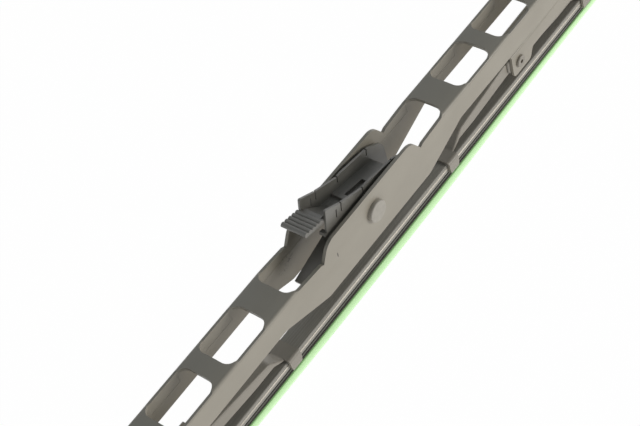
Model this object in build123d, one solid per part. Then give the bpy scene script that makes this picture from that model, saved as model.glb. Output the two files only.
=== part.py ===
from build123d import *
import os
from math import cos, radians, sin, tan

os.makedirs("parts", exist_ok=True)

# A framed windscreen wiper blade. The origin is on the axis of the centre rivet, midway
# between the lever's walls. X runs along the blade, Y across it and Z away from the glass.
# All sizes are in millimetres.

# Overall layout along the blade. The side levers, yokes and rubber are even about CHAIN_X.
CHAIN_X = -1.6
INNER_CLAW_X = 45.8
CLAW_SPAN = 89.6
SECONDARY_PIVOT_X = 172.0
SECONDARY_ARM = SECONDARY_PIVOT_X - INNER_CLAW_X - CLAW_SPAN / 2
RUBBER_TAIL = 6.8
RUBBER_LENGTH = 2 * (2 * SECONDARY_PIVOT_X - INNER_CLAW_X + RUBBER_TAIL)

# Primary lever: a pressed channel whose web is a ladder of windows
PRIMARY_SHEET = 1.2
PRIMARY_WIDTH = 16.0
WEB_TOP = 5.4
WEB_CROWN = 0.5
WEB_BEND = 1.1
INNER_BEND = 0.3
RIM_TOP = 4.5
EAR_TOP = 8.7
EAR_HALF_LENGTH = 22.7
NOTCH_X = 26.7
NOTCH_Z = 2.6
CENTRE_LOW_EDGE = -11.6
CENTRE_LOW_HALF_LENGTH = 28.4
LEVER_LOW_EDGE = -4.6
LEVER_LOW_START_X = 48.8
PRIMARY_END_MARGIN = 8.5
OPENING_HALF_LENGTH = 42.5
OPENING_WIDTH = 13.7
WINDOW_LENGTH = 18.8
WINDOW_BAR = 6.5
WIDE_BAR = 10.4
WINDOW_COUNT = 4
WINDOW_CORNER = 3.2

# Centre rivet
CENTRE_PIN_D = 5.0
CENTRE_HEAD_D = 7.8
CENTRE_HEAD_PROUD = 1.5

# Secondary levers
SECONDARY_SHEET = 1.0
SECONDARY_WIDTH = 9.4
SECONDARY_PIVOT_Z = -2.0
SECONDARY_PIVOT_TOP = 1.5
SECONDARY_PIVOT_LOW = -6.6
SECONDARY_TIP_TOP = -10.6
SECONDARY_TIP_LOW = -20.6
SECONDARY_BELLY_LOW = -16.6
SECONDARY_TIP_MARGIN = 4.4
SECONDARY_FOOT_LENGTH = 11.6
SECONDARY_BEND = 1.2
SECONDARY_PIN_D = 4.0
SECONDARY_HEAD_D = 7.0
SECONDARY_HEAD_PROUD = 1.2

# Yokes: the small channels whose claws hold the rubber
YOKE_SHEET = 0.9
YOKE_WIDTH = 5.8
YOKE_BEND = 0.7
YOKE_PIVOT_Z = -16.0
YOKE_PIVOT_TOP = -13.6
YOKE_NECK_TOP = -17.3
YOKE_LOW_EDGE = -18.7
YOKE_NECK_LOW = -20.2
YOKE_NECK_SETBACK = 5.9
YOKE_PIN_D = 2.4
YOKE_HEAD_D = 4.5
YOKE_HEAD_PROUD = 0.9
YOKE_RIVET_BORE = 1.5

# Claws
CLAW_LENGTH = 5.4
CLAW_TIP_LENGTH = 4.2
CLAW_CLEARANCE = 0.15
CLAW_HOOK = 2.3

# Rubber, its two spring steel strips and the cover over its lip
STRIP_SPAN = 8.0
STRIP_THICKNESS = 0.8
STRIP_WIDTH = 2.7
STRIP_TOP = -24.75
STRIP_SHORTER = 1.0
GROOVE_CLEARANCE = 0.05
HEAD_WIDTH = 7.8
HEAD_THICKNESS = 1.55
FLANGE_WIDTH = 6.6
FLANGE_THICKNESS = 1.2
RUBBER_WAIST = 4.0
WAIST_THICKNESS = 1.35
SHOULDER_WIDTH = 6.6
SHOULDER_THICKNESS = 1.9
SHOULDER_LOW_WIDTH = 4.6
HINGE_THICKNESS = 0.9
HINGE_HEIGHT = 1.5
LIP_WIDTH = 3.8
LIP_EDGE = 0.8
LIP_HEIGHT = 3.6
GUARD_WALL = 0.7
GUARD_CLEARANCE = 0.05
GUARD_TOP_GAP = 2.05
GUARD_SHORTER = 2.0

# Plastic saddles that line each riveted joint
RUNNING_GAP = 0.08
SADDLE_HALF_LENGTH = 5.7
SECONDARY_SADDLE_HALF_LENGTH = 7.0
PIN_CLEARANCE = 0.05
SADDLE_TOP = 0.7

# Hook adaptor, drawn level and then tipped nose down as it stands in the lever
ADAPTOR_TILT = 13.0
ADAPTOR_WIDTH = 10.8
ADAPTOR_WALL = 0.8
ADAPTOR_REAR_X = -21.0
ADAPTOR_REAR_TOP = 12.8
ADAPTOR_MID_TOP = 9.3
ADAPTOR_FRONT_TOP = 10.6
ADAPTOR_NOSE_X = 24.3
ADAPTOR_LOW = -6.4
BOSS_D = 9.4
CORE_RADIUS = 5.1
CORE_FRONT_X = 16.0
CORE_REAR_X = -6.0
CORE_GROOVE = (9.4, 1.9, 2.4)
FLOOR_TOP = 4.2
FLOOR_THICKNESS = 1.0
TAB_LENGTH = 9.4
TAB_WIDTH = 9.6
TAB_THICKNESS = 0.9
TAB_TOP = 9.2
RIB_COUNT = 5
RIB_RADIUS = 0.9
LATCH_WIDTH = 6.8
TONGUE_WIDTH = 6.0
TONGUE_THICKNESS = 1.2
TONGUE_END = (-28.9, -13.8)
SLIT_WIDTH = 0.5
SLITS = ((-15.9, 6.8, 9.9), (-13.4, 7.6, 14.0), (-2.4, 7.1, 14.0), (12.9, 8.1, 14.0))

FAR = 60.0


def outline(corners):
    """A closed face from (u, v) corners; a third value rounds that corner with an arc."""
    places = [Vector(corner[0], corner[1]) for corner in corners]
    radii = [corner[2] if len(corner) > 2 else 0 for corner in corners]
    count = len(places)
    arrive, leave, edges = [], [], []
    for i, (place, radius) in enumerate(zip(places, radii)):
        back = (places[i - 1] - place).normalized()
        ahead = (places[(i + 1) % count] - place).normalized()
        if radius == 0:
            arrive.append(place)
            leave.append(place)
            continue
        half_turn = radians(back.get_angle(ahead)) / 2
        reach = radius / tan(half_turn)
        middle = place + (back + ahead).normalized() * (radius / sin(half_turn) - radius)
        arrive.append(place + back * reach)
        leave.append(place + ahead * reach)
        edges.append(ThreePointArc(arrive[i], middle, leave[i]))
    for i in range(count):
        if (arrive[i] - leave[i - 1]).length > 1e-4:
            edges.append(Line(leave[i - 1], arrive[i]))
    return make_face(edges)


def side_prism(corners, half_width, start=0.0):
    """A side outline in (x, z) made solid across the blade, or one wall from start outwards."""
    face = Plane.XZ * outline(corners)
    if start == 0:
        return extrude(face, half_width, both=True)
    wall = extrude(face.moved(Pos(0, start, 0)), half_width - start, dir=(0, 1, 0))
    return wall + mirror(wall, about=Plane.XZ)


def plan_prism(corners):
    """A plan outline in (x, y) made solid through the whole height."""
    return extrude(Plane.XY * outline(corners), FAR, both=True)


def cross_pin(x, z, diameter, half_length):
    """A cylinder across the blade, centred on its middle plane."""
    return Pos(x, 0, z) * Rot(90, 0, 0) * Cylinder(diameter / 2, 2 * half_length)


def both_sides(corners):
    """The corners of half an outline followed by their mirror image in u = 0."""
    return list(corners) + [(-corner[0], *corner[1:]) for corner in reversed(corners)]


def write(solid, node):
    """Writes one sub-part as a STEP file named after its node."""
    export_step(solid, f"parts/{node}.step")
    return solid


def u_section():
    """Cross-section of the primary lever: two walls, bends and a crowned web."""
    def arch(half, top, bend):
        eave = top - WEB_CROWN
        slant = bend * (1 - cos(radians(45)))
        edges = [
            Line((-half, -FAR), (-half, eave - bend)),
            ThreePointArc((-half, eave - bend), (-half + slant, eave - slant), (-half + bend, eave)),
            ThreePointArc((-half + bend, eave), (0, top), (half - bend, eave)),
            ThreePointArc((half - bend, eave), (half - slant, eave - slant), (half, eave - bend)),
            Line((half, eave - bend), (half, -FAR)),
            Line((half, -FAR), (-half, -FAR)),
        ]
        return make_face(edges)

    outer = arch(PRIMARY_WIDTH / 2, WEB_TOP, WEB_BEND)
    inner = arch(PRIMARY_WIDTH / 2 - PRIMARY_SHEET, WEB_TOP - PRIMARY_SHEET, INNER_BEND)
    return Plane.YZ.offset(NOTCH_X) * (outer - inner.moved(Pos(0, -0.01, 0)))


def rim_dip(low, high):
    """The cut that lowers both rims of a window below the crowned bars."""
    return side_prism([(low, WEB_TOP + 0.5), (low + WINDOW_CORNER, RIM_TOP, 2.0),
                       (high - WINDOW_CORNER, RIM_TOP, 2.0), (high, WEB_TOP + 0.5)], FAR)


def primary_lever():
    """The long lever: raised ears at the centre, a ladder web and straight walls."""
    reach = SECONDARY_PIVOT_X + PRIMARY_END_MARGIN
    arm = extrude(u_section(), reach - CHAIN_X, dir=(1, 0, 0))
    ears = Box(2 * NOTCH_X, PRIMARY_WIDTH, 2 * FAR)
    ears -= Box(2 * NOTCH_X, PRIMARY_WIDTH - 2 * PRIMARY_SHEET, 2 * FAR)
    body = arm + mirror(arm, about=Plane.YZ) + ears

    def half_side(end_x):
        return [
            (EAR_HALF_LENGTH, EAR_TOP, 6.0),
            (NOTCH_X - 0.6, NOTCH_Z + 1.0, 1.2),
            (NOTCH_X, NOTCH_Z),
            (NOTCH_X + 1.4, NOTCH_Z + 0.7, 0.8),
            (OPENING_HALF_LENGTH - WINDOW_CORNER, RIM_TOP - 0.3, 2.0),
            (OPENING_HALF_LENGTH, WEB_TOP + 0.5),
            (end_x, WEB_TOP + 0.5),
            (end_x, LEVER_LOW_EDGE - 1.0, 4.0),
            (LEVER_LOW_START_X, LEVER_LOW_EDGE, 6.0),
            (CENTRE_LOW_HALF_LENGTH, CENTRE_LOW_EDGE, 6.0),
        ]

    left_side = [(-corner[0], *corner[1:]) for corner in reversed(half_side(reach - CHAIN_X))]
    body = body & side_prism(half_side(reach + CHAIN_X) + left_side, FAR)

    half = OPENING_WIDTH / 2
    cuts = [(-OPENING_HALF_LENGTH, OPENING_HALF_LENGTH)]
    start = OPENING_HALF_LENGTH + WIDE_BAR
    for i in range(WINDOW_COUNT):
        near = start + i * (WINDOW_LENGTH + WINDOW_BAR)
        cuts += [(near, near + WINDOW_LENGTH), (-near - WINDOW_LENGTH, -near)]
    for low, high in cuts:
        window = outline([(low, -half, WINDOW_CORNER), (high, -half, WINDOW_CORNER),
                          (high, half, WINDOW_CORNER), (low, half, WINDOW_CORNER)])
        body -= extrude(window, FAR)
    for low, high in cuts[1:]:
        body -= rim_dip(low, high)

    body -= cross_pin(0, 0, CENTRE_PIN_D + 2 * PIN_CLEARANCE, FAR)
    for x in (CHAIN_X - SECONDARY_PIVOT_X, CHAIN_X + SECONDARY_PIVOT_X):
        body -= cross_pin(x, SECONDARY_PIVOT_Z, SECONDARY_PIN_D + 2 * PIN_CLEARANCE, FAR)
    return body


def headed_rivet(z, pin_d, head_d, wall_face, proud, edge):
    """A cross rivet with a flat head, its rim broken by a small chamfer, on each side."""
    head = Pos(0, wall_face, z) * Rot(-90, 0, 0) * Cylinder(
        head_d / 2, proud, align=(Align.CENTER, Align.CENTER, Align.MIN))
    rim = head.edges().sort_by(Axis.Y)[-1]
    head = chamfer([rim], edge)
    return cross_pin(0, z, pin_d, wall_face + proud / 2) + head + mirror(head, about=Plane.XZ)


def centre_rivet():
    """The rivet on which the hook adaptor turns."""
    return headed_rivet(0, CENTRE_PIN_D, CENTRE_HEAD_D, PRIMARY_WIDTH / 2, CENTRE_HEAD_PROUD, 0.25)


def channel(top, low, plan, sheet, bend):
    """A pressed channel open below, from its top line, its lower line and its half plan."""
    first, last = top[0], top[-1]
    deep = [(last[0], -FAR), (first[0], -FAR)]
    outer = side_prism(list(top) + deep, FAR) & plan_prism(plan)
    rim = [edge for edge in outer.edges() if edge.center().Z > -FAR / 2 and abs(edge.center().Y) > 0.1
           and abs((edge @ 0).X - (edge @ 1).X) > 0.2]
    outer = fillet(rim, bend)
    shell_top = [(x, z - sheet, *rest) for x, z, *rest in top]
    shell_top[0] = (first[0] - 1, first[1] - sheet)
    shell_top[-1] = (last[0] + 1, last[1] - sheet)
    shell_deep = [(last[0] + 1, -FAR - 1), (first[0] - 1, -FAR - 1)]
    shell_plan = [(x, y - sheet if y > 0 else y + sheet, *rest) for x, y, *rest in plan]
    ends = (min(x for x, *_ in plan), max(x for x, *_ in plan))
    shell_plan = [(x - 1 if x == ends[0] else x + 1 if x == ends[1] else x, y, *rest)
                  for x, y, *rest in shell_plan]
    inner = side_prism(shell_top + shell_deep, FAR) & plan_prism(shell_plan)
    trim = side_prism([(first[0], FAR), (last[0], FAR)] + list(low), FAR)
    return (outer - inner) & trim


def secondary_lever():
    """A secondary lever about its own pivot at x = 0."""
    reach = SECONDARY_ARM + SECONDARY_TIP_MARGIN
    foot = reach - SECONDARY_FOOT_LENGTH
    half_top = [
        (-reach, SECONDARY_TIP_TOP),
        (-reach + 37, SECONDARY_TIP_TOP + 0.8, 30.0),
        (-14, SECONDARY_PIVOT_TOP, 20.0),
    ]
    half_low = [
        (8, SECONDARY_PIVOT_LOW, 12.0),
        (44, SECONDARY_BELLY_LOW, 40.0),
        (foot - 1.4, SECONDARY_BELLY_LOW, 1.5),
        (foot + 0.6, SECONDARY_TIP_LOW, 2.0),
        (reach, SECONDARY_TIP_LOW, 1.6),
    ]
    half_width = SECONDARY_WIDTH / 2
    plan = [(-reach, half_width), (reach, half_width), (reach, -half_width), (-reach, -half_width)]
    low = list(reversed(half_low)) + [(-corner[0], *corner[1:]) for corner in half_low]
    body = channel(both_sides(half_top), low, plan, SECONDARY_SHEET, SECONDARY_BEND)
    body -= cross_pin(0, SECONDARY_PIVOT_Z, SECONDARY_PIN_D + 2 * PIN_CLEARANCE, FAR)
    for x in (-SECONDARY_ARM, SECONDARY_ARM):
        body -= cross_pin(x, YOKE_PIVOT_Z, YOKE_PIN_D + 2 * PIN_CLEARANCE, FAR)
    return body


def claw_section():
    """Cross-section of a claw: it wraps the strips' edges and turns in under the flange."""
    flange_low = rubber_levels()[1]
    inside = STRIP_SPAN / 2 + CLAW_CLEARANCE
    outside = inside + YOKE_SHEET
    roof = STRIP_TOP + HEAD_THICKNESS + CLAW_CLEARANCE
    ledge = flange_low - CLAW_CLEARANCE
    mouth = outside - CLAW_HOOK
    outer = outline([(-outside, roof + YOKE_SHEET, 1.2), (outside, roof + YOKE_SHEET, 1.2),
                     (outside, ledge - YOKE_SHEET, 0.8), (-outside, ledge - YOKE_SHEET, 0.8)])
    inner = outline([(-inside, roof, 0.3), (inside, roof, 0.3), (inside, ledge), (-inside, ledge)])
    slot = outline([(-mouth, roof), (mouth, roof), (mouth, -FAR), (-mouth, -FAR)])
    return outer - inner - slot, roof + YOKE_SHEET, ledge - YOKE_SHEET


def yoke():
    """A yoke about its own pivot at x = 0: a slim arched channel with a claw at each end."""
    section, claw_top, claw_low = claw_section()
    middle = CLAW_SPAN / 2
    end = middle + CLAW_LENGTH / 2
    shoulder = middle - CLAW_LENGTH / 2
    neck_end = shoulder - YOKE_NECK_SETBACK
    tip = CLAW_TIP_LENGTH / 2
    roof = claw_top - YOKE_SHEET
    neck = YOKE_WIDTH / 2

    half_top = [
        (-end, claw_top),
        (-shoulder + 0.4, claw_top, 1.5),
        (-neck_end, YOKE_NECK_TOP, 3.0),
        (-7, YOKE_PIVOT_TOP, 20.0),
    ]
    half_low = [
        (7, YOKE_LOW_EDGE, 12.0),
        (neck_end - 8.2, YOKE_NECK_LOW, 12.0),
        (neck_end + 1.2, YOKE_NECK_LOW, 2.5),
        (shoulder + 0.6, roof),
        (end, roof),
    ]
    plan = [(-end, neck), (end, neck), (end, -neck), (-end, -neck)]
    low = list(reversed(half_low)) + [(-corner[0], *corner[1:]) for corner in half_low]
    body = channel(both_sides(half_top), low, plan, YOKE_SHEET, YOKE_BEND)

    claw = extrude(Plane.YZ.offset(shoulder) * section, CLAW_LENGTH, dir=(1, 0, 0))
    flank = [
        (shoulder, claw_top + 1), (end, claw_top + 1),
        (end, claw_low + 2.6, 0.8), (middle + tip, claw_low, 0.5),
        (middle - tip, claw_low, 0.5), (shoulder, claw_low + 2.6, 0.8),
    ]
    claw = claw & side_prism(flank, FAR)
    body = body + claw + mirror(claw, about=Plane.YZ)
    return body - cross_pin(0, YOKE_PIVOT_Z, YOKE_PIN_D + 2 * PIN_CLEARANCE, FAR)


def saddle(inner_width, outer_width, web_top, pivot_z, low, half_length, pin_d):
    """A plastic saddle that clips over a riveted joint: two cheeks and a bridge."""
    outside = outer_width / 2 - RUNNING_GAP
    inside = inner_width / 2 + RUNNING_GAP
    top = web_top + RUNNING_GAP + SADDLE_TOP
    side = [(-half_length, top, 1.0), (half_length, top, 1.0),
            (half_length, low, 2.0), (-half_length, low, 2.0)]
    body = side_prism(side, outside)
    body -= Pos(0, 0, top - SADDLE_TOP) * Box(
        3 * half_length, 2 * inside, FAR, align=(Align.CENTER, Align.CENTER, Align.MAX))
    rim = body.edges().filter_by(Axis.X).sort_by(Axis.Z)[-2:]
    body = chamfer(rim, SADDLE_TOP * 0.5)
    return body - cross_pin(0, pivot_z, pin_d + 2 * PIN_CLEARANCE, FAR)


def tubular_rivet():
    """A yoke rivet about x = 0: a thin head on each side, one end rolled round its bore."""
    wall_face = SECONDARY_WIDTH / 2
    body = headed_rivet(YOKE_PIVOT_Z, YOKE_PIN_D, YOKE_HEAD_D, wall_face, YOKE_HEAD_PROUD, 0.25)
    bore = cross_pin(0, YOKE_PIVOT_Z, YOKE_RIVET_BORE, 1.2)
    outer_end = wall_face + YOKE_HEAD_PROUD
    return body - bore.moved(Pos(0, -outer_end, 0))


def rubber_levels():
    """Heights of the rubber's steps, from the strip's seat down to the lip's edge."""
    strip_low = STRIP_TOP - STRIP_THICKNESS - GROOVE_CLEARANCE
    flange_low = strip_low - FLANGE_THICKNESS
    waist_low = flange_low - WAIST_THICKNESS
    shoulder_low = waist_low - SHOULDER_THICKNESS
    hinge_low = shoulder_low - HINGE_HEIGHT
    return strip_low, flange_low, waist_low, shoulder_low, hinge_low, hinge_low - LIP_HEIGHT


def wiper_rubber():
    """The wiping rubber: head, strip grooves, claw grooves, shoulder, hinge neck and tapered lip."""
    strip_low, flange_low, waist_low, shoulder_low, hinge_low, lip_low = rubber_levels()
    groove_depth = STRIP_SPAN / 2 - STRIP_WIDTH - GROOVE_CLEARANCE
    half = [
        (HEAD_WIDTH / 2, STRIP_TOP + HEAD_THICKNESS, 0.4),
        (HEAD_WIDTH / 2, STRIP_TOP + GROOVE_CLEARANCE),
        (groove_depth, STRIP_TOP + GROOVE_CLEARANCE),
        (groove_depth, strip_low),
        (FLANGE_WIDTH / 2, strip_low),
        (FLANGE_WIDTH / 2, flange_low, 0.3),
        (RUBBER_WAIST / 2, flange_low),
        (RUBBER_WAIST / 2, waist_low),
        (SHOULDER_WIDTH / 2, waist_low - 0.35, 0.3),
        (SHOULDER_WIDTH / 2, waist_low - 1.0, 0.3),
        (SHOULDER_LOW_WIDTH / 2, shoulder_low + 0.4, 0.4),
        (HINGE_THICKNESS / 2, shoulder_low - 0.1, 0.3),
        (HINGE_THICKNESS / 2, hinge_low + 0.1, 0.2),
        (LIP_WIDTH / 2, hinge_low - 0.2, 0.2),
        (LIP_WIDTH / 2 - 0.1, hinge_low - 0.9, 0.5),
        (LIP_EDGE / 2, lip_low),
    ]
    face = Plane.YZ * outline(both_sides(half))
    return extrude(face, RUBBER_LENGTH / 2, both=True)


def vertebra():
    """One of the two flat spring strips that stiffen the rubber, on the far side."""
    outside = STRIP_SPAN / 2
    length = RUBBER_LENGTH - 2 * STRIP_SHORTER
    strip = Box(length, STRIP_WIDTH, STRIP_THICKNESS, align=(Align.CENTER, Align.MAX, Align.MAX))
    strip = fillet(strip.edges().filter_by(Axis.Z), 0.8)
    return strip.moved(Pos(0, outside, STRIP_TOP))


def blade_guard():
    """The soft plastic cover pushed over the wiping lip: a deep U that grips the lip's sides."""
    shoulder_low, _, lip_low = rubber_levels()[3:]
    top = shoulder_low - GUARD_TOP_GAP
    floor = lip_low - GUARD_CLEARANCE
    low = floor - GUARD_WALL
    inside = LIP_WIDTH / 2 + GUARD_CLEARANCE
    half = inside + GUARD_WALL
    outer = outline([(-half, top, 0.3), (half, top, 0.3), (half, low, 2.1), (-half, low, 2.1)])
    inner = outline([(-inside, top + 1), (inside, top + 1), (inside, floor, 1.3), (-inside, floor, 1.3)])
    return extrude(Plane.YZ * (outer - inner), RUBBER_LENGTH / 2 - GUARD_SHORTER, both=True)


def adaptor_walls():
    """The adaptor's two side walls: raised at the rear, rounded over at the nose."""
    side = [
        (ADAPTOR_REAR_X, ADAPTOR_REAR_TOP, 0.5),
        (-14.0, ADAPTOR_REAR_TOP - 1.8, 12.0),
        (-2.7, ADAPTOR_MID_TOP, 0.6),
        (-0.6, ADAPTOR_MID_TOP + 0.5, 0.6),
        (14.0, ADAPTOR_FRONT_TOP, 4.0),
        (21.6, 8.2, 5.0),
        (ADAPTOR_NOSE_X, -2.0, 4.0),
        (20.5, ADAPTOR_LOW, 2.5),
        (-7.0, ADAPTOR_LOW, 3.0),
        (-14.0, 1.5, 3.0),
        (ADAPTOR_REAR_X, 2.6, 0.5),
    ]
    half = ADAPTOR_WIDTH / 2
    walls = side_prism(side, half, half - ADAPTOR_WALL)
    for x, low, high in SLITS:
        walls -= Pos(x, 0, (low + high) / 2) * Box(SLIT_WIDTH, FAR, high - low)
    foot = side_prism([
        (ADAPTOR_REAR_X - 0.9, 4.2), (ADAPTOR_REAR_X + 0.8, 4.2),
        (ADAPTOR_REAR_X + 0.8, 3.1), (ADAPTOR_REAR_X - 0.9, 3.1),
    ], half, half - 3 * ADAPTOR_WALL)
    return walls + foot


def adaptor_core():
    """The block between the walls that the arm's hook wraps round, with the floor behind it."""
    between = ADAPTOR_WIDTH / 2 - ADAPTOR_WALL / 2
    core = side_prism([
        (CORE_REAR_X, -CORE_RADIUS, 1.0),
        (CORE_REAR_X, CORE_RADIUS),
        (CORE_FRONT_X, CORE_RADIUS, 1.0),
        (CORE_FRONT_X, -CORE_RADIUS, 2 * CORE_RADIUS - 1.1),
    ], between)
    core -= Pos(CORE_GROOVE[0] / 2 - 4, 0, CORE_RADIUS) * Box(*CORE_GROOVE)
    floor_low = FLOOR_TOP - FLOOR_THICKNESS
    floor = side_prism([
        (CORE_REAR_X + 1, FLOOR_TOP),
        (CORE_REAR_X + 1, floor_low),
        (ADAPTOR_REAR_X + 5.5, floor_low, 0.4),
        (ADAPTOR_REAR_X + 5.5, FLOOR_TOP, 0.4),
    ], between)
    boss = cross_pin(0, 0, BOSS_D, PRIMARY_WIDTH / 2 - PRIMARY_SHEET - RUNNING_GAP)
    boss -= Box(2 * BOSS_D, ADAPTOR_WIDTH - 2 * ADAPTOR_WALL, 2 * BOSS_D)
    return core + floor + boss


def adaptor_latch():
    """The sprung latch: an arm that rises from the floor to a ribbed thumb tab."""
    tab_end = ADAPTOR_REAR_X - TAB_LENGTH
    arm = side_prism([
        (-11.0, FLOOR_TOP - FLOOR_THICKNESS),
        (-11.0, FLOOR_TOP),
        (ADAPTOR_REAR_X + 1.0, TAB_TOP),
        (ADAPTOR_REAR_X - 1.0, TAB_TOP),
        (ADAPTOR_REAR_X - 1.0, TAB_TOP - TAB_THICKNESS),
        (ADAPTOR_REAR_X + 1.0, TAB_TOP - TAB_THICKNESS, 1.0),
    ], LATCH_WIDTH / 2)
    tab = side_prism([
        (tab_end + RIB_RADIUS, TAB_TOP - TAB_THICKNESS),
        (tab_end + RIB_RADIUS, TAB_TOP),
        (ADAPTOR_REAR_X - 0.3, TAB_TOP),
        (ADAPTOR_REAR_X - 0.3, TAB_TOP - TAB_THICKNESS),
    ], TAB_WIDTH / 2)
    pitch = (TAB_LENGTH - RIB_RADIUS) / RIB_COUNT
    for i in range(RIB_COUNT):
        x = tab_end + RIB_RADIUS + i * pitch
        tab += cross_pin(x, TAB_TOP - TAB_THICKNESS / 3, 2 * RIB_RADIUS, TAB_WIDTH / 2)
    return arm + tab


def adaptor_tongue():
    """The spring tongue that slopes down to the rear from the core."""
    end_x, end_z = TONGUE_END
    root = Vector(CORE_REAR_X + 1, -1.4)
    along = (Vector(end_x, end_z) - root).normalized()
    down = Vector(along.Y, -along.X) * -TONGUE_THICKNESS
    corners = [root, root + down, Vector(end_x, end_z) + down, Vector(end_x, end_z)]
    return side_prism([(c.X, c.Y) for c in corners], TONGUE_WIDTH / 2)


def hook_adaptor():
    """The moulded plastic adaptor that takes the wiper arm's hook."""
    body = adaptor_walls() + adaptor_core() + adaptor_latch() + adaptor_tongue()
    body -= cross_pin(0, 0, CENTRE_PIN_D + 2 * PIN_CLEARANCE, FAR)
    return Rot(0, ADAPTOR_TILT, 0) * body


write(primary_lever(), "primary_lever")
write(centre_rivet(), "centre_rivet")
write(hook_adaptor(), "hook_adaptor")

primary_inside = PRIMARY_WIDTH - 2 * PRIMARY_SHEET
secondary_inside = SECONDARY_WIDTH - 2 * SECONDARY_SHEET
lever = secondary_lever()
lever_rivet = headed_rivet(SECONDARY_PIVOT_Z, SECONDARY_PIN_D, SECONDARY_HEAD_D,
                           PRIMARY_WIDTH / 2, SECONDARY_HEAD_PROUD, 0.5)
lever_saddle = saddle(SECONDARY_WIDTH, primary_inside, SECONDARY_PIVOT_TOP, SECONDARY_PIVOT_Z,
                      SECONDARY_PIVOT_LOW + 0.6, SECONDARY_SADDLE_HALF_LENGTH, SECONDARY_PIN_D)
small_yoke = yoke()
yoke_rivet = tubular_rivet()
yoke_saddle = saddle(YOKE_WIDTH, secondary_inside, YOKE_PIVOT_TOP, YOKE_PIVOT_Z,
                     YOKE_LOW_EDGE - 0.1, SADDLE_HALF_LENGTH, YOKE_PIN_D)

for side, way in (("left", -1), ("right", 1)):
    at_pivot = Pos(CHAIN_X + way * SECONDARY_PIVOT_X, 0, 0)
    write(at_pivot * lever, f"secondary_lever_{side}")
    write(at_pivot * lever_rivet, f"secondary_rivet_{side}")
    write(at_pivot * lever_saddle, f"secondary_saddle_{side}")
    for place, arm in (("inner", -SECONDARY_ARM), ("outer", SECONDARY_ARM)):
        at_pivot = Pos(CHAIN_X + way * (SECONDARY_PIVOT_X + arm), 0, 0)
        write(at_pivot * small_yoke, f"yoke_{place}_{side}")
        write(at_pivot * yoke_rivet, f"yoke_rivet_{place}_{side}")
        write(at_pivot * yoke_saddle, f"yoke_saddle_{place}_{side}")

middle = Pos(CHAIN_X, 0, 0)
write(middle * wiper_rubber(), "wiper_rubber")
far_strip = middle * vertebra()
write(far_strip, "vertebra_far")
write(mirror(far_strip, about=Plane.XZ), "vertebra_near")
write(middle * blade_guard(), "blade_guard")
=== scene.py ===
# %% [markdown]
# # A framed windscreen wiper blade
# A framed blade is a tree of small levers. One long pressed lever carries two shorter ones,
# each of those carries two yokes, and the yokes' claws hold a rubber strip that is stiffened
# by two flat springs. The rigid parts were built as solids, so this script loads them as they
# are, gives them finishes, and makes the soft parts again so that they can bend.

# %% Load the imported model
import math
import bmesh
import bpy
from mathutils import Matrix, Vector


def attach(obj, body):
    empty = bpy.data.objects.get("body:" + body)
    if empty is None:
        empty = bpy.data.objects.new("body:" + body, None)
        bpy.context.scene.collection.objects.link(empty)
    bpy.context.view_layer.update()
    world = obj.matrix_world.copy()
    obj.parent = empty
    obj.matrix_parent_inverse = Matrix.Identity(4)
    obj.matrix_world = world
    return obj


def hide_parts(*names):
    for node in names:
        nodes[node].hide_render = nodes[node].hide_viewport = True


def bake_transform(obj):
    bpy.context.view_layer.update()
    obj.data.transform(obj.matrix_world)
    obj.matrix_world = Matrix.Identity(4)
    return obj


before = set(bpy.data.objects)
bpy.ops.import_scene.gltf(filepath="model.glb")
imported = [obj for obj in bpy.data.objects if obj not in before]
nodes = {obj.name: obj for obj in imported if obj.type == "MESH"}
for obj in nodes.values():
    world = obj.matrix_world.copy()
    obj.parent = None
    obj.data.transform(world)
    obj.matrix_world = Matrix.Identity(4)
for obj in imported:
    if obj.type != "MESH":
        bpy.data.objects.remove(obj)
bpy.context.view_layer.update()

MM = 0.001
scene = bpy.context.scene
print("rigid and soft solids loaded:", len(nodes))

# %% [markdown]
# ## The camera
# The photograph looks down along the blade from beyond its left end. The camera's place, its
# directions and its focal length were worked out from points on the lever whose places are
# known. A camera's matrix has three columns for its turn: its right, its up and the opposite
# of the way it looks.

# %% Camera
IMAGE_WIDTH = 640
FOCAL_PIXELS = 1445.17
SENSOR = 36.0
CAMERA_PLACE = (-0.204566, -0.229151, 0.342404)
CAMERA_RIGHT = Vector((0.583481, -0.784729, -0.209163)).normalized()
CAMERA_AHEAD = Vector((0.425126, 0.514576, -0.744634)).normalized()

camera_data = bpy.data.cameras.new("camera")
camera_data.sensor_width = SENSOR
camera_data.lens = FOCAL_PIXELS / IMAGE_WIDTH * SENSOR
camera_data.clip_start = 0.01
camera = bpy.data.objects.new("camera", camera_data)
camera_up = CAMERA_RIGHT.cross(CAMERA_AHEAD)
camera_turn = Matrix((CAMERA_RIGHT, camera_up, -CAMERA_AHEAD)).transposed()
camera.matrix_world = Matrix.Translation(CAMERA_PLACE) @ camera_turn.to_4x4()
scene.collection.objects.link(camera)
scene.camera = camera
scene.view_settings.view_transform = "Standard"
print("camera lens", round(camera_data.lens, 2), "mm")

# %% [markdown]
# ## Lamps
# The sides of the lever are bright in the photograph, inside the channel too, and its tops are
# dark. That is how an object looks on a light table, whose glowing floor lights it from below.
# One soft lamp stands low in front as well, and a weaker one low behind. They are area lamps,
# because a lamp's size is what makes its shadows soft.

# %% Two soft lamps
LAMP_DISTANCE = 1.6
LAMP_TARGET = Vector((0, 0, -0.01))


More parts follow.
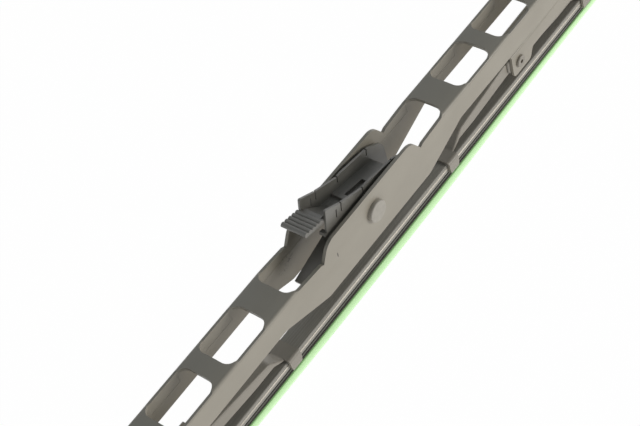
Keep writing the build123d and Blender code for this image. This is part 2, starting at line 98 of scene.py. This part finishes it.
def soft_lamp(name, azimuth, elevation, size, power, colour):
    """A square area lamp facing the blade; azimuth 0 is in front, at -Y, and 90 at +X."""
    a, e = math.radians(azimuth), math.radians(elevation)
    place = Vector((LAMP_DISTANCE * math.sin(a) * math.cos(e),
                    -LAMP_DISTANCE * math.cos(a) * math.cos(e), LAMP_DISTANCE * math.sin(e)))
    data = bpy.data.lights.new(name, "AREA")
    data.size = size
    data.energy = power
    data.color = colour
    lamp = bpy.data.objects.new(name, data)
    turn = (LAMP_TARGET - place).to_track_quat("-Z", "Y")
    lamp.matrix_world = Matrix.Translation(place) @ turn.to_matrix().to_4x4()
    scene.collection.objects.link(lamp)


soft_lamp("front_lamp", azimuth=30, elevation=12, size=0.6, power=10.0, colour=(1.0, 0.985, 0.95))
soft_lamp("back_lamp", azimuth=172, elevation=6, size=0.9, power=3.0, colour=(0.97, 0.985, 1.0))
print("two lamps,", LAMP_DISTANCE, "m away")

# %% [markdown]
# ## World
# A white room would light the tops of the levers too much. So the world is white only where it
# is seen, by the camera, in a reflection or through glass, which a Light Path node tells. To
# all other rays it's a dim sky, slightly blue.

# %% World
SKY_COLOUR, SKY_STRENGTH = (0.74, 0.88, 1.0, 1), 0.17


def seen_ray(tree):
    """1 for rays that come from the camera, a reflection or glass, else 0."""
    path = tree.nodes.new("ShaderNodeLightPath")
    seen = path.outputs["Is Camera Ray"]
    for name in ("Is Glossy Ray", "Is Transmission Ray"):
        larger = tree.nodes.new("ShaderNodeMath")
        larger.operation = "MAXIMUM"
        tree.links.new(seen, larger.inputs[0])
        tree.links.new(path.outputs[name], larger.inputs[1])
        seen = larger.outputs[0]
    return seen


def mix_shaders(tree, share, first, second, output):
    """Mixes two shaders by the share of the second, and links them to a new output node."""
    mix, out = tree.nodes.new("ShaderNodeMixShader"), tree.nodes.new(output)
    tree.links.new(share, mix.inputs[0])
    tree.links.new(first.outputs[0], mix.inputs[1])
    tree.links.new(second.outputs[0], mix.inputs[2])
    tree.links.new(mix.outputs[0], out.inputs[0])


world = bpy.data.worlds.new("white_room")
scene.world = world
world.use_nodes = True
sky = world.node_tree
sky.nodes.clear()
dim, white = sky.nodes.new("ShaderNodeBackground"), sky.nodes.new("ShaderNodeBackground")
dim.inputs["Color"].default_value = SKY_COLOUR
dim.inputs["Strength"].default_value = SKY_STRENGTH
white.inputs["Color"].default_value = (1, 1, 1, 1)
mix_shaders(sky, seen_ray(sky), dim, white, "ShaderNodeOutputWorld")
print("sky of strength", SKY_STRENGTH)

# %% [markdown]
# ## The floor
# The floor is the light table, just under the cover's lowest point. It mixes matt paper with
# an even glow. Where it is seen it's nearly all glow, which makes it white, and the little
# paper that is left takes a faint shadow. The light that it throws on the blade is set apart,
# so that it can be weaker than what is seen.

# %% Floor
FLOOR_Z, FLOOR_SIZE = -0.0362, 4.0
PAPER_COLOUR = (0.9, 0.9, 0.9, 1)
SEEN_GLOW, LIT_GLOW = 0.992, 0.95

floor_bm = bmesh.new()
bmesh.ops.create_grid(floor_bm, x_segments=1, y_segments=1, size=FLOOR_SIZE,
                      matrix=Matrix.Translation((0, 0, FLOOR_Z)))
floor_mesh = bpy.data.meshes.new("floor")
floor_bm.to_mesh(floor_mesh)
floor_bm.free()
floor = bpy.data.objects.new("floor", floor_mesh)
scene.collection.objects.link(floor)

paper = bpy.data.materials.new("white_paper")
paper.use_nodes = True
tree = paper.node_tree
tree.nodes.clear()
matt, glow = tree.nodes.new("ShaderNodeBsdfDiffuse"), tree.nodes.new("ShaderNodeEmission")
matt.inputs["Color"].default_value = PAPER_COLOUR
share = tree.nodes.new("ShaderNodeMapRange")
share.inputs["To Min"].default_value = LIT_GLOW
share.inputs["To Max"].default_value = SEEN_GLOW
tree.links.new(seen_ray(tree), share.inputs["Value"])
mix_shaders(tree, share.outputs["Result"], matt, glow, "ShaderNodeOutputMaterial")
floor_mesh.materials.append(paper)
print("white floor at", FLOOR_Z)

# %% [markdown]
# ## How a finish is made
# Each finish is one Principled shader. A slow noise shifts its colour a little, a second noise
# breaks up its roughness, and on all faces a fine bump gives a grain. They all read Object
# coordinates, so the pattern stays on the piece when it moves. The colours are written as they
# look on a screen, which is how they can be compared with a photograph.

# %% Colours
def srgb(red, green, blue):
    """A colour from 0-255 screen values, as the linear values a shader takes."""
    def linear(value):
        value /= 255
        return value / 12.92 if value <= 0.04045 else ((value + 0.055) / 1.055) ** 2.4
    return (linear(red), linear(green), linear(blue), 1.0)


print("screen grey 128 is", round(srgb(128, 128, 128)[0], 3), "in linear light")

# %% Nodes
def add(finish, kind, inputs=None, **settings):
    """Adds a node to a finish; an input gets a value, or a link if it is given an output."""
    node = finish.node_tree.nodes.new(kind)
    for name, value in settings.items():
        setattr(node, name, value)
    for name, value in (inputs or {}).items():
        if isinstance(value, bpy.types.NodeSocket):
            finish.node_tree.links.new(value, node.inputs[name])
        else:
            node.inputs[name].default_value = value
    return node


def new_finish(name):
    """A material with a Principled shader and a source of coordinates."""
    finish = bpy.data.materials.new(name)
    finish.use_nodes = True
    add(finish, "ShaderNodeTexCoord")
    return finish


def shader(finish):
    """The inputs of a finish's Principled shader."""
    return finish.node_tree.nodes["Principled BSDF"].inputs


def coordinates(finish):
    """The Object coordinates."""
    return finish.node_tree.nodes["Texture Coordinate"].outputs["Object"]


def feed(finish, socket, source):
    """Links a source to an input of the shader."""
    finish.node_tree.links.new(source, shader(finish)[socket])


print("a finish starts with a Principled shader and its coordinates")

# %% Noise, and the colour, roughness and grain that it drives
def noise(finish, scale, detail=3, stretch=(1, 1, 1), seed=0):
    """Noise over the piece; stretch multiplies the coordinates along X, Y and Z."""
    moved = add(finish, "ShaderNodeMapping", {
        "Vector": coordinates(finish), "Location": (seed, seed, seed), "Scale": stretch})
    return add(finish, "ShaderNodeTexNoise", {
        "Vector": moved.outputs["Vector"], "Scale": scale, "Detail": detail}).outputs["Fac"]


def tone(finish, source, first_colour, last_colour, low=0.35, high=0.65):
    """Blends two colours as a noise goes from low to high; it seldom leaves 0.35 to 0.65."""
    ramp = add(finish, "ShaderNodeValToRGB", {"Fac": source})
    first, last = ramp.color_ramp.elements
    first.position, first.color = low, first_colour
    last.position, last.color = high, last_colour
    return ramp.outputs["Color"]


def map_range(finish, source, start, end, low=0, high=1):
    """Low where the source is at start, high where it is at end."""
    return add(finish, "ShaderNodeMapRange", {
        "Value": source, "From Min": start, "From Max": end,
        "To Min": low, "To Max": high}).outputs["Result"]


def roughen(finish, source, low, high):
    """Roughness from low to high."""
    feed(finish, "Roughness", map_range(finish, source, 0, 1, low, high))


def grain(finish, source, depth):
    """A bump whose full depth is given in millimetres."""
    bump = add(finish, "ShaderNodeBump", {"Height": source, "Distance": depth * MM})
    feed(finish, "Normal", bump.outputs["Normal"])


finishes = []


def note(finish):
    """Notes a finish and says how many nodes it has."""
    finishes.append(finish)
    print(finish.name, "has", len(finish.node_tree.nodes), "nodes")


# %% [markdown]
# ## Lever paint
# The levers are pressed from steel sheet and painted a thin satin grey. The near wall has one
# small dark scratch below the rivet, and inside the far wall a patch of darker specks is
# painted shade. Both could be painted in an image, but masks made of nodes need no image. The
# scratch's mask is an ellipsoid, and the shade's is an ellipsoid times a fine noise.

# %% Masks
def spot(finish, centre, size, core=0.5):
    """1 in the core of an ellipsoid given in millimetres, falling to 0 at its surface."""
    shift = add(finish, "ShaderNodeVectorMath", {
        0: coordinates(finish), 1: [value * MM for value in centre]}, operation="SUBTRACT")
    divide = add(finish, "ShaderNodeVectorMath", {
        0: shift.outputs["Vector"], 1: [value * MM for value in size]}, operation="DIVIDE")
    length = add(finish, "ShaderNodeVectorMath", {0: divide.outputs["Vector"]},
                 operation="LENGTH")
    return map_range(finish, length.outputs["Value"], 1, core)


def overlap(finish, first, second):
    """The product of two masks."""
    return add(finish, "ShaderNodeMath", {0: first, 1: second}, operation="MULTIPLY").outputs[0]


def paint_over(finish, mask, under, over):
    """One colour, with another over it where the mask is 1."""
    return add(finish, "ShaderNodeMix", {"Factor": mask, "A": under, "B": over},
               data_type="RGBA").outputs["Result"]


print("masks can be a spot, or the overlap of two")

# %% Lever paint
SCRATCH = dict(centre=(-20.3, -8.0, 0.3), size=(0.35, 1.5, 1.3))
# A patch of darker specks inside the far wall, painted shade.
PAINTED_SHADE_PATCH = dict(centre=(-29.5, 6.8, -2.5), size=(6.0, 1.0, 4.0), core=0.2)
SHADE_SPECK_RANGE = (0.56, 0.62)

paint = new_finish("lever_paint")
paint_tone = tone(paint, noise(paint, 38, detail=4, stretch=(1, 2, 2)),
                  srgb(156, 149, 135), srgb(162, 155, 141))
paint_tone = paint_over(paint, spot(paint, **SCRATCH), paint_tone, srgb(84, 80, 74))
# Painted shade: darker specks inside the far wall.
painted_shade_specks = overlap(paint, spot(paint, **PAINTED_SHADE_PATCH), map_range(paint, noise(paint, 1400), *SHADE_SPECK_RANGE))
feed(paint, "Base Color", paint_over(paint, painted_shade_specks, paint_tone, srgb(118, 113, 104)))
roughen(paint, noise(paint, 240, seed=4), 0.34, 0.46)
grain(paint, noise(paint, 900, detail=2, seed=2), depth=0.008)
note(paint)

# %% [markdown]
# ## Yoke paint and cut edges
# The yokes, the smallest pressings, and their rivets have a darker copy of the lever paint,
# a painted shade for the shadow the lever casts on them. On all pressings the cut edges have a
# second, paler finish, a painted highlight for the light that a rounded edge catches. A second
# finish on the edges is simpler than a mask along every edge.

# %% Yoke paint, darker as painted shade
# A darker copy of the lever paint: painted shade on the yokes.
yoke_shade_paint = new_finish("yoke_shade_paint")
yoke_shade_tone = tone(yoke_shade_paint, noise(yoke_shade_paint, 60, detail=4, stretch=(1, 2, 2)),
                 srgb(145, 138, 126), srgb(152, 145, 133))
feed(yoke_shade_paint, "Base Color", yoke_shade_tone)
roughen(yoke_shade_paint, noise(yoke_shade_paint, 240, seed=6), 0.34, 0.46)
grain(yoke_shade_paint, noise(yoke_shade_paint, 900, detail=2, seed=7), depth=0.008)
note(yoke_shade_paint)

# %% Cut edges, a painted highlight
# The paler edge finish is a painted highlight on the bevels.
highlight_edge_paint = new_finish("lever_paint_edge")
feed(highlight_edge_paint, "Base Color", tone(highlight_edge_paint, noise(highlight_edge_paint, 160),
                                    srgb(190, 184, 172), srgb(214, 208, 196)))
roughen(highlight_edge_paint, noise(highlight_edge_paint, 300, detail=2), 0.22, 0.36)
note(highlight_edge_paint)

# %% [markdown]
# ## Rivets
# The large rivets are steel under the same paint. Their heads were pressed flat, which leaves
# a coarser skin than the sheet's. The dents could be modelled, but a finish with a deeper
# grain shows them with no more faces.

# %% Rivet paint
rivet = new_finish("rivet_paint")
feed(rivet, "Base Color", tone(rivet, noise(rivet, 600, detail=4),
                               srgb(164, 158, 147), srgb(172, 166, 155)))
roughen(rivet, noise(rivet, 700, detail=2, seed=3), 0.36, 0.52)
grain(rivet, noise(rivet, 1200, detail=2), depth=0.03)
note(rivet)

# %% [markdown]
# ## Spring steel
# The two springs are rolled strip with fine lines along it. An image of rolled steel would
# have to be laid on each strip by hand. Noise gives the same lines when its coordinates are
# stretched across the strip and not along it.

# %% Spring steel
STEEL_METALLIC = 0.55

steel = new_finish("spring_steel")
shader(steel)["Metallic"].default_value = STEEL_METALLIC
feed(steel, "Base Color", tone(steel, noise(steel, 60, stretch=(1, 30, 30)),
                               srgb(176, 169, 157), srgb(196, 189, 177), 0.3, 0.7))
roughen(steel, noise(steel, 90, stretch=(1, 40, 40)), 0.3, 0.46)
grain(steel, noise(steel, 120, stretch=(1, 60, 60)), depth=0.01)
note(steel)

# %% [markdown]
# ## Plastics
# The adaptor is a black-grey moulding, a little shinier than most plastics. Its grain was
# eaten into the mould by sparks, and is far too fine to model, so it's a bump. Its bevelled
# edges get a paler finish, a painted highlight. The saddles that line the riveted joints are a
# lighter, duller plastic.

# %% Adaptor plastic
PLASTIC_SHINE = 0.8

plastic = new_finish("adaptor_plastic")
feed(plastic, "Base Color", tone(plastic, noise(plastic, 120, detail=4),
                                 srgb(108, 105, 98), srgb(118, 115, 108)))
roughen(plastic, noise(plastic, 500, seed=5), 0.32, 0.44)
grain(plastic, noise(plastic, 2600, detail=2), depth=0.01)
shader(plastic)["Specular IOR Level"].default_value = PLASTIC_SHINE
note(plastic)

# %% Moulded edges, a painted highlight
# The paler edge finish is a painted highlight on the bevels.
highlight_plastic_edge = new_finish("adaptor_edge")
feed(highlight_plastic_edge, "Base Color", tone(highlight_plastic_edge, noise(highlight_plastic_edge, 200),
                                      srgb(160, 156, 147), srgb(182, 178, 169)))
roughen(highlight_plastic_edge, noise(highlight_plastic_edge, 300, detail=2), 0.26, 0.4)
note(highlight_plastic_edge)

# %% Saddle plastic
saddle = new_finish("saddle_plastic")
feed(saddle, "Base Color", tone(saddle, noise(saddle, 200),
                                srgb(146, 140, 130), srgb(158, 152, 142)))
roughen(saddle, noise(saddle, 600, detail=2, seed=1), 0.48, 0.6)
grain(saddle, noise(saddle, 2400, detail=2), depth=0.02)
note(saddle)

# %% [markdown]
# ## Rubber
# The rubber is dull grey, with drawing lines along it like those of the steel. Below the flange
# its colour is painted much darker, a painted shade under the head and flange, which catch the
# light. The change is made by height, and the heights of all soft parts are written first,
# because their sections use them too.

# %% Heights of the soft parts, in millimetres
HEAD_TOP = -23.2
STRIP_TOP, STRIP_LOW = -24.75, -25.55
FLANGE_LOW, WAIST_LOW, SHOULDER_LOW = -26.8, -28.15, -30.05
HINGE_LOW, LIP_LOW = -31.55, -35.15
GUARD_TOP, GUARD_FLOOR, GUARD_LOW = -31.8, -35.2, -35.9
print("rubber and cover:", round(HEAD_TOP - GUARD_LOW, 2), "mm high")

# %% Rubber
PALE_FADE = 0.3


def height(finish, low, high):
    """0 at the first height and 1 at the second, both in millimetres."""
    split = add(finish, "ShaderNodeSeparateXYZ", {0: coordinates(finish)})
    return map_range(finish, split.outputs["Z"], low * MM, high * MM)


rubber = new_finish("wiper_rubber")
rubber_tone = tone(rubber, noise(rubber, 24, detail=2, stretch=(1, 90, 90)),
                   srgb(132, 128, 119), srgb(156, 151, 141), 0.3, 0.7)
# Below the flange the colour is painted dark, a painted shade.
painted_shade_below = height(rubber, FLANGE_LOW + PALE_FADE, FLANGE_LOW)
feed(rubber, "Base Color", paint_over(rubber, painted_shade_below, rubber_tone, srgb(78, 76, 68)))
roughen(rubber, noise(rubber, 80, stretch=(1, 30, 30), seed=2), 0.4, 0.55)
grain(rubber, noise(rubber, 24, detail=2, stretch=(1, 90, 90)), depth=0.02)
note(rubber)

# %% [markdown]
# ## The cover over the lip
# The pale green cover is a soft, waxy plastic that lets a little light through. Towards its
# open edge the colour is painted greyer, a painted shade. A weak glow stands in for the light
# through it, because real translucency in a wall this thin takes long to render.

# %% Guard plastic
SHADE_FADE = 2.4
GLOW_COLOUR, GLOW_STRENGTH = srgb(180, 255, 155), 0.13

green = new_finish("guard_plastic")
# Greyer towards the open edge: a painted shade.
shaded_open_edge = height(green, GUARD_TOP - SHADE_FADE, GUARD_TOP)
feed(green, "Base Color", paint_over(green, shaded_open_edge, srgb(220, 252, 202),
                                     srgb(188, 226, 166)))
roughen(green, noise(green, 90, detail=2, stretch=(1, 20, 20)), 0.36, 0.46)
grain(green, noise(green, 50, detail=2, stretch=(1, 30, 30)), depth=0.01)
shader(green)["Emission Color"].default_value = GLOW_COLOUR
shader(green)["Emission Strength"].default_value = GLOW_STRENGTH
note(green)
print("finishes:", len(finishes))

# %% [markdown]
# ## The rigid parts
# The solids are right as they are, but their edges are razor sharp and a pressed or moulded
# edge never is. A Weld modifier joins the loose triangles, and a small Bevel gives each sharp
# edge a line that catches the light. The bevel takes a piece's last finish, which on the
# levers, yokes and adaptor is a paler painted highlight.

# %% Edges
WELD_DISTANCE = 0.002
EDGE_ANGLE = math.radians(40)


def soften(piece, width):
    """Rounds a solid's sharp edges, in its last finish, by a width in millimetres."""
    weld = piece.modifiers.new("weld", "WELD")
    weld.merge_threshold = WELD_DISTANCE * MM
    bevel = piece.modifiers.new("edge", "BEVEL")
    bevel.width = width * MM
    bevel.segments = 2
    bevel.material = len(piece.data.materials) - 1
    bevel.limit_method = "ANGLE"
    bevel.angle_limit = EDGE_ANGLE
    normals = piece.modifiers.new("normals", "WEIGHTED_NORMAL")
    normals.keep_sharp = True


print("edges sharper than", round(math.degrees(EDGE_ANGLE)), "degrees are rounded")

# %% Dress the rigid parts
SOFT_NODES = ("wiper_rubber", "vertebra_near", "vertebra_far", "blade_guard")
# On the adaptor, yokes and levers the edge finish is a painted highlight, and the yokes' paint is
# a darker painted shade.
DRESS = (       # part of a node's name, finishes of faces and edges, width; the first match counts
    ("adaptor", (plastic, highlight_plastic_edge), 0.1),
    ("saddle", (saddle,), 0.1),
    ("yoke_rivet", (yoke_shade_paint,), 0.08),
    ("rivet", (rivet,), 0.08),
    ("yoke", (yoke_shade_paint, highlight_edge_paint), 0.12),
    ("lever", (paint, highlight_edge_paint), 0.12),
)
for name, piece in nodes.items():
    if name in SOFT_NODES:
        continue
    _, looks, edge_width = next(row for row in DRESS if row[0] in name)
    piece.data.materials.clear()
    for look in looks:
        piece.data.materials.append(look)
    soften(piece, edge_width)
print("rigid parts dressed:", len(nodes) - len(SOFT_NODES))

# %% [markdown]
# ## The soft parts
# The rubber, the two steel strips in it and the cover over its lip run through all eight claws
# and bend as the yokes turn. Each is made in lengths that meet at the claws and pivots, and
# once in the free stretch near the middle. A length between a yoke's claws moves with that
# yoke, and a length that crosses a joint stays where it is made, on no body.

# %% Where each length starts, ends and what it follows
CHAIN_X = -1.6
LEAD_START, INNER_CLAW, INNER_END, PIVOT, OUTER_CLAW = 28.0, 45.8, 135.4, 172.0, 208.6
RUBBER_END, STRIP_END, GUARD_END = 305.0, 304.0, 303.0

SPANS = (       # name, start and end from the chain's middle, and the body or two it follows
    ("centre", 0.0, LEAD_START, "primary", "secondary"),
    ("inner_lead", LEAD_START, INNER_CLAW, "secondary", "yoke_inner"),
    ("inner_yoke", INNER_CLAW, INNER_END, "yoke_inner", None),
    ("inner_tail", INNER_END, PIVOT, "yoke_inner", "secondary"),
    ("outer_lead", PIVOT, OUTER_CLAW, "secondary", "yoke_outer"),
    ("outer_yoke", OUTER_CLAW, RUBBER_END, "yoke_outer", None),
)
SIDES = (("left", -1), ("right", 1))


def body_name(body, side):
    """The primary body has no side, all others have one."""
    return body if body == "primary" else f"{body}_{side}"


print("lengths of each part:", len(SPANS) * len(SIDES))

# %% [markdown]
# ## Their sections
# A section is a ring of corners in millimetres: across the blade, up, and the radius that
# rounds the corner. Half of it is written and the other half mirrored, apart from the two
# strips, which lie side by side in the rubber's grooves.

# %% Sections
GROOVE_CLEARANCE = 0.05
GROOVE_TOP, GROOVE_LOW = STRIP_TOP + GROOVE_CLEARANCE, STRIP_LOW - GROOVE_CLEARANCE
HEAD, CORE, FLANGE, WAIST, SHOULDER, HINGE = 3.9, 1.25, 3.85, 2.0, 3.3, 0.45
STRIP_INNER, STRIP_OUTER = 1.3, 4.0
GUARD_OUTER, GUARD_INNER = 2.65, 1.95


def flipped(section):
    """A section's mirror image."""
    return [(-y, z, r) for y, z, r in reversed(section)]


def mirrored(half):
    """Half a section followed by its mirror image."""
    return list(half) + flipped(half)


rubber_section = mirrored((
    (HEAD, HEAD_TOP, 0.4), (HEAD, GROOVE_TOP, 0.1),
    (CORE, GROOVE_TOP, 0), (CORE, GROOVE_LOW, 0),
    (FLANGE, GROOVE_LOW, 0), (FLANGE, FLANGE_LOW, 0.2),
    (WAIST, FLANGE_LOW, 0), (WAIST, WAIST_LOW, 0.2),
    (SHOULDER, WAIST_LOW - 0.35, 0.25), (SHOULDER, WAIST_LOW - 1.0, 0.3),
    (2.3, SHOULDER_LOW + 0.4, 0.4), (HINGE, SHOULDER_LOW - 0.1, 0.3),
    (HINGE, HINGE_LOW + 0.1, 0.2), (1.9, HINGE_LOW - 0.2, 0.2),
    (1.8, HINGE_LOW - 0.9, 0.5), (0.4, LIP_LOW, 0.1),
))
strip_section = [
    (STRIP_INNER, STRIP_TOP, 0.15), (STRIP_OUTER, STRIP_TOP, 0.25),
    (STRIP_OUTER, STRIP_LOW, 0.25), (STRIP_INNER, STRIP_LOW, 0.15),
]
guard_outside = mirrored(((GUARD_OUTER, GUARD_TOP, 0.3), (GUARD_OUTER, GUARD_LOW, 2.1)))
guard_inside = mirrored(((GUARD_INNER, GUARD_TOP, 0.1), (GUARD_INNER, GUARD_FLOOR, 1.3)))
guard_section = guard_outside + guard_inside[::-1]
print("corners:", len(rubber_section), len(strip_section), len(guard_section))

# %% [markdown]
# ## Drawing a length
# A length is made as an extruder makes it: the section is one face, which is drawn out along
# the blade. Each long edge is then bevelled by its own radius, and the length is cut across
# every few millimetres, because a mesh bends only where it has vertices.

# %% Draw out a section
LONG_EDGE = 0.5         # an edge that runs further than this along the blade is a long one


def drawn_out(section, start, end):
    """A section drawn out from start to end, with its corners rounded."""
    bm = bmesh.new()
    ring = [bm.verts.new((start * MM, y * MM, z * MM)) for y, z, _ in section]
    cap = bm.faces.new(ring)
    drawn = bmesh.ops.extrude_face_region(bm, geom=[cap])
    moved = [v for v in drawn["geom"] if isinstance(v, bmesh.types.BMVert)]
    bmesh.ops.translate(bm, verts=moved, vec=((end - start) * MM, 0, 0))
    for corner, (_, _, radius) in zip(ring, section):
        if radius == 0:
            continue
        along = [e for e in corner.link_edges
                 if abs(e.verts[0].co.x - e.verts[1].co.x) > LONG_EDGE * MM]
        bmesh.ops.bevel(bm, geom=along, offset=radius * MM, segments=3, profile=0.5,
                        affect="EDGES", material=-1)
    return bm


trial = drawn_out(strip_section, 0, 10)
print("a strip's length has", len(trial.faces), "faces before its cuts")
trial.free()

# %% Cut it for bending
STEP = 3.0
CUT_MARGIN = 0.01       # keeps the cuts off a length's own ends
CUT_TOLERANCE = 1e-7


def cut_across(bm, start, end):
    """Cuts a length at every step between its ends."""
    x = math.ceil(min(start, end) / STEP + CUT_MARGIN) * STEP
    while x < max(start, end) - CUT_MARGIN:
        everything = bm.verts[:] + bm.edges[:] + bm.faces[:]
        bmesh.ops.bisect_plane(bm, geom=everything, dist=CUT_TOLERANCE,
                               plane_co=(x * MM, 0, 0), plane_no=(1, 0, 0))
        x += STEP


print("a cut every", STEP, "mm")

# %% [markdown]
# ## The lean
# The lip and its cover lean towards the viewer near the middle of the blade and stand upright
# further out. So the vertices below the shoulder move sideways, the lower the more.

# %% Lean
LEAN, LEAN_X, LEAN_REACH = 1.4, 3, 78


def lean(x):
    """How far the lowest point leans towards the viewer, in metres, along the blade."""
    return LEAN * MM * math.exp(-abs((x / MM - LEAN_X) / LEAN_REACH) ** 3)


def lean_over(bm):
    """Moves what is below the shoulder towards the viewer."""
    for v in bm.verts:
        depth = (SHOULDER_LOW * MM - v.co.z) / ((SHOULDER_LOW - GUARD_LOW) * MM)
        v.co.y -= lean(v.co.x) * min(max(depth, 0.0), 1.0)


print("lean at the middle and 100 mm out:", round(lean(0) / MM, 2), round(lean(0.1) / MM, 2))

# %% [markdown]
# ## All lengths
# Every length is its own piece. It rides on one body or, where it crosses a joint, stays where
# it is made, and it stands for the solid that it replaces.

# %% Make every length of the four soft parts
SHARP_ANGLE = math.radians(35)
SOFT_PARTS = (
    ("rubber", "wiper_rubber", rubber_section, RUBBER_END, rubber, "rubber", True),
    ("spring_far", "vertebra_far", strip_section, STRIP_END, steel, "spring_steel", False),
    ("spring_near", "vertebra_near", flipped(strip_section), STRIP_END, steel, "spring_steel",
     False),
    ("guard", "blade_guard", guard_section, GUARD_END, green, "guard_plastic", True),
)


def soft_length(name, section, start, end, finish, leaning):
    """One finished length of a soft part."""
    bm = drawn_out(section, start, end)
    cut_across(bm, start, end)
    bmesh.ops.recalc_face_normals(bm, faces=bm.faces[:])
    if leaning:
        lean_over(bm)
    mesh = bpy.data.meshes.new(name)
    bm.to_mesh(mesh)
    bm.free()
    mesh.polygons.foreach_set("use_smooth", [True] * len(mesh.polygons))
    mesh.set_sharp_from_angle(angle=SHARP_ANGLE)
    mesh.materials.append(finish)
    piece = bpy.data.objects.new(name, mesh)
    scene.collection.objects.link(piece)
    return piece


made = 0
for label, node, section, half_length, finish, slot, leaning in SOFT_PARTS:
    for side, way in SIDES:
        for span, start, end, first, second in SPANS:
            start, end = CHAIN_X + way * start, CHAIN_X + way * min(end, half_length)
            piece = soft_length(f"{label}_{side}_{span}", section, start, end, finish, leaning)
            if second is None:
                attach(piece, body_name(first, side))
            else:
                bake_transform(piece)
            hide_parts(node)
            made += 1
print("soft lengths made:", made)
